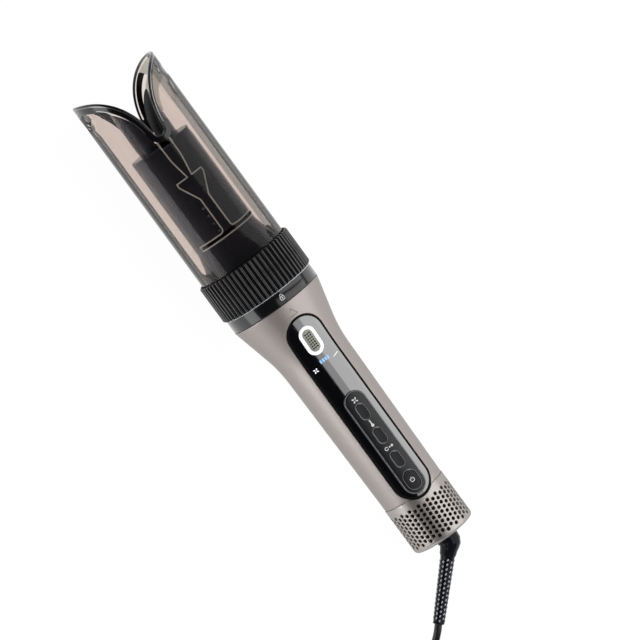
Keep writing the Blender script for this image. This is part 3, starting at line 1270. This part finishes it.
class CURLER_OT_keys(bpy.types.Operator):
    """The five press keys and the bright ring round the curl button"""
    bl_idname = "curler.keys"
    bl_label = "Keys"

    def execute(self, context):
        for name, node_name, body, z in (
                ("fan_key_cap", "fan_button", "fan_key", Z_FAN),
                ("heat_key_cap", "heat_button", "heat_key", Z_HEAT),
                ("timer_key_cap", "timer_button", "timer_key", Z_TIMER)):
            key = mesh_object(name, *stadium_cap(4.6, 10.0, z, -1.4, 1.14, 0.34, 0.2, rings=5))
            finish_piece(key, plain("Key satin black"), body, node_name, angle=60)

        marks = [strip(arc_line(0, Z_POWER, 1.25, 125, 415, 28), 0.4, on_handle, 1.12),
                 strip(line((0, Z_POWER + 0.3), (0, Z_POWER + 1.75)), 0.4, on_handle, 1.16)]
        black = plain("Key satin black")
        power = join("power_key_cap", [
            mesh_object("lower", *stadium_cap(8.0, 12.0, Z_POWER, -1.4, 0.98, 0.3, 0.0, rings=4), black),
            mesh_object("upper", *stadium_cap(5.6, 8.6, Z_POWER, 0.7, 1.2, 0.3, 0.12, rings=4), black),
            mesh_object("sign", *merged(marks), print_white(), weld=0)])
        finish_piece(power, None, "power_key", "power_button", angle=50)

        guide = mesh_object("curl_light_ring", *stadium_loft(
            GUIDE_W, GUIDE_L, Z_CURL, GUIDE, ring=True, arc=28, step=0.8))
        light = glow("Ring light guide", (0.93, 0.94, 0.96), 0.55)
        finish_piece(guide, light, "handle", "curl_button_ring", angle=40)

        width, length = GUIDE_W - 2 * GUIDE_BAND - 0.5, GUIDE_L - 2 * GUIDE_BAND - 0.5
        cap = mesh_object("cap", *stadium_cap(width, length, Z_CURL, -1.6, 0.46, 0.3, 0.0, rings=5),
                          plain("Curl button grey"))
        dots = run_tree("dots", dimple_tree(), plain("Slot matte black"), {
            "Across": 3, "Along": 7, "Width": 2.9, "Length": 9.6, "Middle": Z_CURL, "Dot": 0.6,
            "Target": cap}, None)
        curl = join("curl_key_cap", [cap, dots])
        finish_piece(curl, None, "curl_key", "curl_button", angle=50)
        return {"FINISHED"}


SIDE_STEPS = 6
FIRST_HOLE = 4.05
TOP_GAP = 0.06
# Rings round an air hole: (added to its radius, depth)
HOLE_RINGS = ((0.16, 0.0), (0.05, 0.04), (0.0, 0.14), (0.0, 1.2))
FILTER = [(18.5, 2.4), (18.5, 26.4), (18.1, 26.4), (18.1, 2.4)]
TAIL_BUSH = [(7.1, 6.1), (7.1, 0.15), (7.25, -0.02), (9.3, -0.02), (9.55, 0.12), (9.6, 0.4), (9.6, 6.1)]


def hole_tile(width, pitch, hole):
    """One flat tile with a round hole; its sides carry points that meet the next column's half step."""
    outer = []
    for start, way in (((0.5, -0.5), (0, 1)), ((0.5, 0.5), (-1, 0)),
                       ((-0.5, 0.5), (0, -1)), ((-0.5, -0.5), (1, 0))):
        for t in (k / SIDE_STEPS for k in range(SIDE_STEPS)):
            outer.append(((start[0] + way[0] * t) * width, (start[1] + way[1] * t) * pitch))
    verts = [(x, 0.0, z) for x, z in outer]
    for wider, depth in HOLE_RINGS:
        for a in (math.atan2(z / pitch, x / width) for x, z in outer):
            verts.append(((hole + wider) * math.cos(a), depth, (hole + wider) * math.sin(a)))
    return mesh_object("tile", verts, quads(len(HOLE_RINGS) + 1, len(outer)), weld=0)


class CURLER_OT_grille(bpy.types.Operator):
    """Pierced tail cup, its filter and the swivel bush"""
    bl_idname = "curler.grille"
    bl_label = "Tail grille"

    def execute(self, context):
        s = sizes()
        radius, columns, rows = mm(s.grille_radius), s.grille_columns, s.grille_rows
        pitch, hole = mm(s.grille_pitch), mm(s.hole_diameter) / 2
        tile = hole_tile(2 * math.pi * radius / columns, pitch, hole)
        pierced = run_tree("pierced", wrapped_tree(), grille_metal(), {
            "Columns": columns, "Rows": rows, "Pitch": pitch, "Start": FIRST_HOLE, "Radius": radius, "Slope": 0.0,
            "Drop last": 1.0, "Shape": tile}, None)
        remove(tile)

        gap_r = mm(s.panel_width) / 2 + 0.55
        foot_z = Z_PANEL + mm(s.panel_width) / 2
        shapes = []
        for c in range(columns):
            odd = c % 2
            low = FIRST_HOLE + (odd * 0.5 - 0.5) * pitch
            high = FIRST_HOLE + (rows - 0.5 - odd * 0.5) * pitch
            verts = []
            for k in range(SIDE_STEPS + 1):
                a = (c - 0.5 + k / SIDE_STEPS) * 2 * math.pi / columns
                x, y = radius * math.sin(a), -radius * math.cos(a)
                # the top edge dips round the foot of the panel
                edge = Z_HANDLE - TOP_GAP
                if y < 0 and abs(x) < gap_r:
                    edge = min(edge, foot_z - math.sqrt(gap_r * gap_r - x * x))
                verts += [(x, y, z) for z in (ROUND, (ROUND + low) / 2, low)]
                verts += [(x, y, high + (edge - high) * t) for t in (0, 0.25, 0.5, 0.75, 0.97)]
                verts += [(x * (1 - d / radius), y * (1 - d / radius), edge) for d in (0.12, 1.4)]
            # the holes lie between the third and the fourth level
            faces = quads(SIDE_STEPS + 1, 10, ring=False, turned=True)
            faces = [face for i, face in enumerate(faces) if i % 9 != 2]
            shapes.append((verts, faces))
        plain_parts = mesh_object("plain", *merged(shapes))
        foot = [(9.65, 1.5), (9.65, 0.12), (9.75, 0.0), (radius - ROUND, 0.0)]
        foot += [(radius - ROUND + ROUND * math.sin(t), ROUND - ROUND * math.cos(t))
                 for t in (math.pi / 2 * i / 8 for i in range(1, 9))]
        half_column = 180.0 / columns
        cup = mesh_object("cup", *revolve(foot, columns * SIDE_STEPS, -half_column, 360 - half_column))
        grille = join("tail_grille", [pierced, plain_parts, cup])
        weld_mesh(grille, 0.01)
        finish_piece(grille, grille_metal(), "handle", "intake_grille", angle=40)

        net = mesh_object("filter_sleeve", *revolve(FILTER, 96, closed=True))
        finish_piece(net, plain("Inner moulding"), "handle", "filter_mesh")
        bush = closed_ring("tail_bush", TAIL_BUSH, segments=96)
        finish_piece(bush, plain("Head base black"), "handle", "swivel_bush")
        return {"FINISHED"}


# A rib's section as (share of the half width, share of the height); its ends as (inset, share of the height)
RIB_ACROSS = [(-1.0, 0.0), (-0.92, 0.38), (-0.7, 0.71), (-0.38, 0.92), (0.0, 1.0), (0.38, 0.92), (0.7, 0.71),
              (0.92, 0.38), (1.0, 0.0)]
RIB_END = [(0.0, 0.0), (0.15, 0.45), (0.45, 0.8), (0.9, 1.0)]


class CURLER_OT_collar(bpy.types.Operator):
    """Lock collar: glossy band, ribbed grip and the padlock mark"""
    bl_idname = "curler.collar"
    bl_label = "Lock collar"

    def execute(self, context):
        s = sizes()
        foot, top = Z_NECK + 0.3, Z_COLLAR + 0.02
        band = rounded([(28.2, foot), (BAND_R, foot), (BAND_R, top), (28.2, top)], [0, 0.35, 0.15, 0])
        wire = [(BAND_R + 0.12 + 0.2 * math.cos(t), Z_COLLAR - 0.15 + 0.2 * math.sin(t))
                for t in (math.pi * k / 4 for k in range(8))]
        ring = closed_ring("lock_band", band + [(28.2, Z_COLLAR)], plain("Band gloss black"))
        bright = closed_ring("line", wire, plain("Bright edge"))
        piece = join("lock_band", [ring, bright])
        finish_piece(piece, None, "lock_collar", "collar_band", angle=40)

        root = COLLAR_R - RIB_DEPTH - 0.25
        outline = rounded([(29.3, top), (root, top), (root, Z_HEAD), (29.2, Z_HEAD), (29.2, Z_COLLAR + 9)],
                          [0, 0.5, 0.5, 0.1, 0])
        core = closed_ring("core", outline, plain("Slot matte black"), 240)
        half = mm(s.rib_width) / 2
        low, high = Z_COLLAR + 0.35, Z_HEAD - 0.3
        levels = [(low + inset, rise) for inset, rise in RIB_END]
        levels += [(high - inset, rise) for inset, rise in reversed(RIB_END)]
        verts = [(h * rise * (RIB_DEPTH + 0.31) - 0.06, x * half, z) for z, rise in levels for x, h in RIB_ACROSS]
        rib = mesh_object("rib", verts, quads(len(levels), len(RIB_ACROSS), ring=False), weld=0)
        ribs = run_tree("ribs", rib_tree(), plain("Collar satin black"),
                        {"Count": s.rib_count, "Radius": root, "Rib": rib}, None)
        remove(rib)
        grip = join("ribbed_grip", [core, ribs])
        finish_piece(grip, None, "lock_collar", "collar_grip", angle=50)

        z = (Z_NECK + Z_COLLAR) / 2 + 0.1
        foot, top = z - 1.7, z + 0.35
        body = poly_line([(-1.25, foot), (1.25, foot), (1.25, top), (-1.25, top), (-1.25, foot)])
        shackle = [(-0.8, top), (-0.8, z + 0.9)] + arc_line(0, z + 0.95, 0.8, 180, 0, 12) + [(0.8, top)]
        lock = mesh_object("padlock_mark", *merged([
            strip(body, 0.36, on_band, 0.03), strip(shackle, 0.34, on_band, 0.03),
            blob(0, z - 0.65, 0.34, 0.5, 0, on_band, 0.03)]), weld=0)
        finish_piece(lock, print_white(), "lock_collar", None)
        return {"FINISHED"}


SLOT_FOOT = Z_SLIT + SLIT_H / 2
SLIT_LEFT, SLIT_RIGHT, SLIT_DEPTH = 62, 80, 1.9
HOLE_X, HOLE_R, HOLE_DEPTH = 4.8, 0.72, 0.55
HOLE_Z = [Z_SLOT + 2.2 + 5.3 * k for k in range(4)]
EDGE_WIRE = 0.5


def slot_outline(top):
    """The slot between the barrel's halves, from the front, counter-clockwise."""
    right = [(2.7, SLOT_FOOT), (2.7, Z_POCKET), (8.5, Z_LIPS - 2.5), (8.5, Z_LIPS), (1.3, Z_LIPS),
             (2.5, Z_LIPS + 7), (3.4, Z_LIPS + 13), (3.7, Z_LIPS + 29), (3.7, top)]
    return right + [(-x, z) for x, z in reversed(right)]


def slot_cutters(top):
    """A recess on both faces and the gap that joins them."""
    cutters = []
    for side in (-1, 1):
        recess = prism("recess", slot_outline(top))
        for v in recess.data.vertices:
            v.co.y = side * (RECESS if v.co.y * side < 0 else 40.0)
        cutters.append(face_out(recess))
    half = GAP / 2
    outline = [(half, SLOT_FOOT), (half, top), (-half, top), (-half, SLOT_FOOT)]
    return cutters + [prism("gap", outline, RECESS + 1)]


def edge_wires(radius, runs):
    """Bright rounded edges along runs of (x, z) on the barrel's front and, turned half round, on its back."""
    shapes = []
    for face in (-1, 1):
        for run in runs:
            points = [on_round(radius - 0.12, -face * x, z, face) for x, z in poly_line(run, 0.7)]
            shapes.append(tube_along(points, EDGE_WIRE, 8))
    return mesh_object("edges", *merged(shapes), plain("Bright edge"), weld=0)


def inner_faces(obj, radius, low, dots=()):
    """A matt finish for the walls inside a cut, and a grey one for the floors of the air holes."""
    obj.data.materials.append(plain("Slot matte black"))
    matt = len(obj.data.materials) - 1
    if dots:
        obj.data.materials.append(plain("Air hole floor"))
    for poly in obj.data.polygons:
        c = poly.center
        away = math.hypot(c.x, c.y)
        if c.z > low and away < radius - 0.35:
            poly.material_index = matt
        if away < radius - 0.3 and any(abs(c.z - z) < 0.85 and abs(abs(c.x) - x) < 0.85 for x, z in dots):
            poly.material_index = matt + 1


class CURLER_OT_barrel(bpy.types.Operator):
    """Turning barrel with its slot, level slits and narrow tip"""
    bl_idname = "curler.barrel"
    bl_label = "Barrel"

    def execute(self, context):
        radius = mm(sizes().barrel_radius)
        profile = rounded([(0.0, Z_SPIDER), (SKIRT_R, Z_SPIDER), (SKIRT_R, Z_HEAD - 1), (radius + 0.1, Z_SLIT - 2),
                           (radius, Z_SHOULDER), (0.0, Z_SHOULDER)], [0, 0.3, 3, 3, 0.5, 0], 5)
        fine = []
        for a, b in zip(profile, profile[1:]):
            fine.append(a)
            if b[1] - a[1] > 20:
                fine += [(a[0] + (b[0] - a[0]) * k / 8, a[1] + (b[1] - a[1]) * k / 8) for k in range(1, 8)]
        fine.append(profile[-1])
        barrel = mesh_object("turning_barrel", *revolve(fine, 144, 1.0, 361.0), barrel_coat())
        cutters = slot_cutters(Z_SHOULDER + 5)
        slit = [(radius - SLIT_DEPTH, Z_SLIT), (radius + 3, Z_SLIT), (radius + 3, Z_SLIT + SLIT_H),
                (radius - SLIT_DEPTH, Z_SLIT + SLIT_H)]
        for turn in (0, 180):
            wedge = revolve(slit, 48, turn - SLIT_LEFT, turn + SLIT_RIGHT, closed=True)
            cutters.append(face_out(mesh_object("slit", *wedge)))
            for z in HOLE_Z:
                bore = tube_along([(0, -radius + HOLE_DEPTH, 0), (0, -SKIRT_R, 0)], HOLE_R, 16)
                hole = face_out(mesh_object("hole", *bore))
                hole.data.transform(Matrix.Rotation(math.radians(turn), 4, "Z") @ Matrix.Translation((0, 0, z))
                                    @ Matrix.Rotation(-math.asin(HOLE_X / radius), 4, "Z"))
                cutters.append(hole)
        cut(barrel, cutters)
        soften(barrel, 0.18, 2, 38)
        inner_faces(barrel, radius, Z_SLIT, [(HOLE_X, z) for z in HOLE_Z])

        # each run goes along the foot of the level slit, round its end, back along its top and up the slot's side
        outline = slot_outline(Z_SHOULDER - 0.3)
        runs = []
        for side, reach in ((1, SLIT_RIGHT), (-1, SLIT_LEFT)):
            across = [radius * math.sin(math.radians(reach) * k / 16) for k in range(17)]
            run = [(x, Z_SLIT - 0.15) for x in across] + [(x, Z_SLOT + 0.15) for x in reversed(across[4:])]
            run += [(3.6, Z_SLOT + 0.5), (2.9, Z_SLOT + 1.7)]
            run += [(x + 0.18, z) for x, z in outline[1:len(outline) // 2]]
            runs.append([(side * x, z) for x, z in run])
        barrel = join("turning_barrel", [barrel, edge_wires(radius, runs)])
        finish_piece(barrel, None, "curl_barrel", "barrel")

        profile = [(0.0, Z_SHOULDER)] + [(TIP_R, Z_SHOULDER + 4.5 * k) for k in range(10)]
        profile.append((0.0, Z_SHOULDER + 40.5))
        tip = mesh_object("tip", *revolve(profile, 120, 1.5, 361.5), barrel_coat())
        wide = TIP_R + 1
        across = [-wide + 2 * wide * k / 48 for k in range(49)]
        top = [(x, mouth_edge(max(abs(x), SLOT_HALF), NOSE_DROP)) for x in across]
        crown = prism("crown", list(reversed(top)) + [(-wide, Z_SHOULDER - 2), (wide, Z_SHOULDER - 2)])
        cut(tip, [face_out(crown)], "INTERSECT")
        foot, head = Z_SHOULDER + 0.02, Z_SHOULDER + 2.0
        cap_profile = rounded([(0.0, foot), (radius, foot), (radius, head), (0.0, head)], [0, 0.1, 0.6, 0])
        cap = mesh_object("cap", *revolve(cap_profile, 120, 1.5, 361.5), barrel_coat())
        for obj, edge, reach, low in ((tip, 0.18, TIP_R, Z_SHOULDER), (cap, 0.15, radius, Z_SHOULDER + 30)):
            cut(obj, slot_cutters(Z_TIP))
            soften(obj, edge, 2, 38)
            inner_faces(obj, reach, low)
        nose = join("barrel_nose", [tip, cap])
        finish_piece(nose, None, "curl_barrel", "barrel_tip")
        return {"FINISHED"}


# Rows of the cover's wall: the plain wall, then these distances from the mouth's edge, then the round lip
RIM_BANDS = [15.0, 7.4, 5.2, 4.1, 3.75, 2.3, 1.45, 1.15]
WALL_ROWS, LIP_STEPS, LIP_ROUND = 22, 8, 0.75
FLOOR_STEPS, EDGE_STEPS = 8, 44
CLEAR, BLACK, PALE, HORN = range(4)


def mouth_path(outer):
    """A quarter of the mouth's edge, from the slot's floor to the side of the cover."""
    path = []
    for a in (math.pi / 2 * k / FLOOR_STEPS for k in range(FLOOR_STEPS + 1)):
        path.append((SLOT_HALF * math.sin(a), SLOT_FLOOR + SLOT_HALF - SLOT_HALF * math.cos(a)))
    first = math.asin((SLOT_FLOOR + SLOT_HALF - MOUTH_Z) / MOUTH_H)
    last = math.acos((MOUTH_X - outer) / MOUTH_W)
    for t in (first + (last - first) * k / EDGE_STEPS for k in range(1, EDGE_STEPS + 1)):
        path.append((min(MOUTH_X - MOUTH_W * math.cos(t), outer), MOUTH_Z + MOUTH_H * math.sin(t)))
    return path


def cover_quarter(path, outer, inner):
    """Columns of points up the outer wall, over the lip and down the inner wall."""
    count = len(path)
    columns = []
    for i, (x, z) in enumerate(path):
        a, b = path[max(i - 1, 0)], path[min(i + 1, count - 1)]
        along = Vector((b[0] - a[0], b[1] - a[1])).normalized()
        into = Vector((0, -1)) if i in (0, count - 1) else Vector((along.y, -along.x))
        foot_turn = math.pi / 2 * i / (count - 1)

        def inset(r, distance):
            turn = math.asin(max(-1.0, min(1.0, (x + into.x * distance) / outer)))
            return (r * math.sin(turn), r * math.cos(turn), z + into.y * distance)

        def wall(r):
            edge_turn = math.asin(max(-1.0, min(1.0, (x + into.x * RIM_BANDS[0]) / outer)))
            edge_z = z + into.y * RIM_BANDS[0]
            points = []
            for share in ((k / WALL_ROWS) ** 0.8 for k in range(WALL_ROWS)):
                turn = foot_turn + (edge_turn - foot_turn) * share
                height = Z_FLANGE_TOP + (edge_z - Z_FLANGE_TOP) * share
                points.append((r * math.sin(turn), r * math.cos(turn), height))
            return points
        lip = [inset(outer + (inner - outer) * (1 - math.cos(f)) / 2, LIP_ROUND * (1 - math.sin(f)))
               for f in (math.pi * k / LIP_STEPS for k in range(LIP_STEPS + 1))]
        columns.append(wall(outer) + [inset(outer, d) for d in RIM_BANDS] + lip
                       + [inset(inner, d) for d in reversed(RIM_BANDS)] + wall(inner)[::-1])
    return columns


# Columns of the slot's floor and of the neck above it, and where the streaks begin and end across the cover
FLOOR_COLUMNS, NECK_COLUMNS = 10, 12
LEFT_FROM, LEFT_WIDE, HORN_FROM = 19, 25.4, 18


def cover_finishes(i, x, side, face):
    """One finish for each row of faces in a column, from the flange over the rim and down the inner wall."""
    bars = [CLEAR, CLEAR, CLEAR, PALE, BLACK, BLACK, PALE]
    if i < FLOOR_COLUMNS:
        bars = [CLEAR] * 3 + [BLACK] * 4
    elif side < 0 and x > LEFT_FROM:
        bars = [CLEAR, BLACK if x > LEFT_WIDE else CLEAR] + [BLACK] * 4 + [PALE]
    elif side > 0 > face:
        bars = [CLEAR] * 6 + [PALE] if i < NECK_COLUMNS else [CLEAR] * 5 + [BLACK, PALE]
    elif side > 0 and i > NECK_COLUMNS and x < HORN_FROM:
        bars = [HORN, CLEAR, BLACK, BLACK, BLACK, CLEAR, PALE]
    elif side > 0 and i > NECK_COLUMNS:
        bars = [HORN] * 5 + [CLEAR, PALE]
    return [CLEAR] * WALL_ROWS + bars + [BLACK] * (LIP_STEPS + 2) + bars[::-1] + [CLEAR] * (WALL_ROWS + 1)


class CURLER_OT_cover(bpy.types.Operator):
    """Clear smoked cover with its V mouth and rounded rim"""
    bl_idname = "curler.cover"
    bl_label = "Clear cover"

    def execute(self, context):
        outer = mm(sizes().cover_radius)
        path = mouth_path(outer)
        columns = cover_quarter(path, outer, outer - mm(sizes().cover_wall))
        shapes, finish = [], []
        for side, face in ((1, -1), (1, 1), (-1, 1), (-1, -1)):
            verts = [(side * x, face * y, z) for column in columns for x, y, z in column]
            faces = quads(len(columns), len(columns[0]), turned=True)
            if side * face > 0:
                faces = [tuple(reversed(corners)) for corners in faces]
            shapes.append((verts, faces))
            for i in range(len(path) - 1):
                finish += cover_finishes(i, path[i][0], side, face)
        clear, horn = smoked("Smoked clear cover", colours().smoke), smoked("Cover horn smoke", (0.42, 0.40, 0.35))
        cover = mesh_object("clear_cover", *merged(shapes), clear, weld=0)
        for mat in (plain("Cover rim black"), plain("Cover rim line"), horn):
            cover.data.materials.append(mat)
        for poly, kind in zip(cover.data.polygons, finish):
            poly.material_index = kind
        with edited(cover.data) as work:
            bmesh.ops.remove_doubles(work, verts=work.verts, dist=0.002)
            bmesh.ops.dissolve_degenerate(work, edges=work.edges, dist=0.0001)
            bmesh.ops.recalc_face_normals(work, faces=work.faces)
        finish_piece(cover, None, "handle", "cover", angle=60)
        return {"FINISHED"}


# Inner parts that keep their solid shape, by finish
INNER_PARTS = {
    "Board lacquer": ("control_board",),
    "Inner moulding": ("tact_switches", "fan_impeller", "motor_mount", "drive_frame"),
    "Plain steel": ("board_screws", "fan_motor", "heater_coil", "curl_motor", "drive_shaft", "frame_screws",
                    "retaining_clip"),
    "Mica sheet": ("air_duct", "heater_frame"),
    "Nickel plate": ("thermal_cutout",),
    "Sintered brass": ("motor_pinion", "lower_shaft_bush", "upper_shaft_bush", "barrel_bush"),
    "Natural nylon": ("drive_gear",),
    "Head base black": ("neck_socket", "head_base", "cover_latches"),
    "Lead jacket": ("internal_leads",),
}


class CURLER_OT_inside(bpy.types.Operator):
    """Finishes for the inner parts that keep their solid shape"""
    bl_idname = "curler.inside"
    bl_label = "Inner parts"

    def execute(self, context):
        for finish, names in INNER_PARTS.items():
            for name in names:
                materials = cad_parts[name].data.materials
                materials.clear()
                materials.append(plain(finish))
        return {"FINISHED"}


class CURLER_PT_panel(bpy.types.Panel):
    """Sizes, colours and the build steps"""
    bl_idname = "CURLER_PT_panel"
    bl_label = "Curling iron"
    bl_space_type = "VIEW_3D"
    bl_region_type = "UI"
    bl_category = "Curler"

    def draw(self, context):
        layout = self.layout
        for group in (sizes(), colours()):
            for name in group.__annotations__:
                layout.prop(group, name)
        for operator in OPERATORS:
            layout.operator(operator.bl_idname)


OPERATORS = (
    CURLER_OT_stage, CURLER_OT_plug, CURLER_OT_cord, CURLER_OT_elbow, CURLER_OT_handle, CURLER_OT_panel,
    CURLER_OT_keys, CURLER_OT_grille, CURLER_OT_collar, CURLER_OT_barrel, CURLER_OT_cover, CURLER_OT_inside,
)
CLASSES = (CurlerSizes, CurlerColours) + OPERATORS + (CURLER_PT_panel,)


def register():
    for item in CLASSES:
        bpy.utils.register_class(item)
    bpy.types.Scene.curler_sizes = bpy.props.PointerProperty(type=CurlerSizes)
    bpy.types.Scene.curler_colours = bpy.props.PointerProperty(type=CurlerColours)


def unregister():
    del bpy.types.Scene.curler_colours
    del bpy.types.Scene.curler_sizes
    for item in reversed(CLASSES):
        bpy.utils.unregister_class(item)


def main():
    register()
    for operator in OPERATORS:
        group, name = operator.bl_idname.split(".")
        getattr(getattr(bpy.ops, group), name)()


if __name__ == "__main__":
    main()
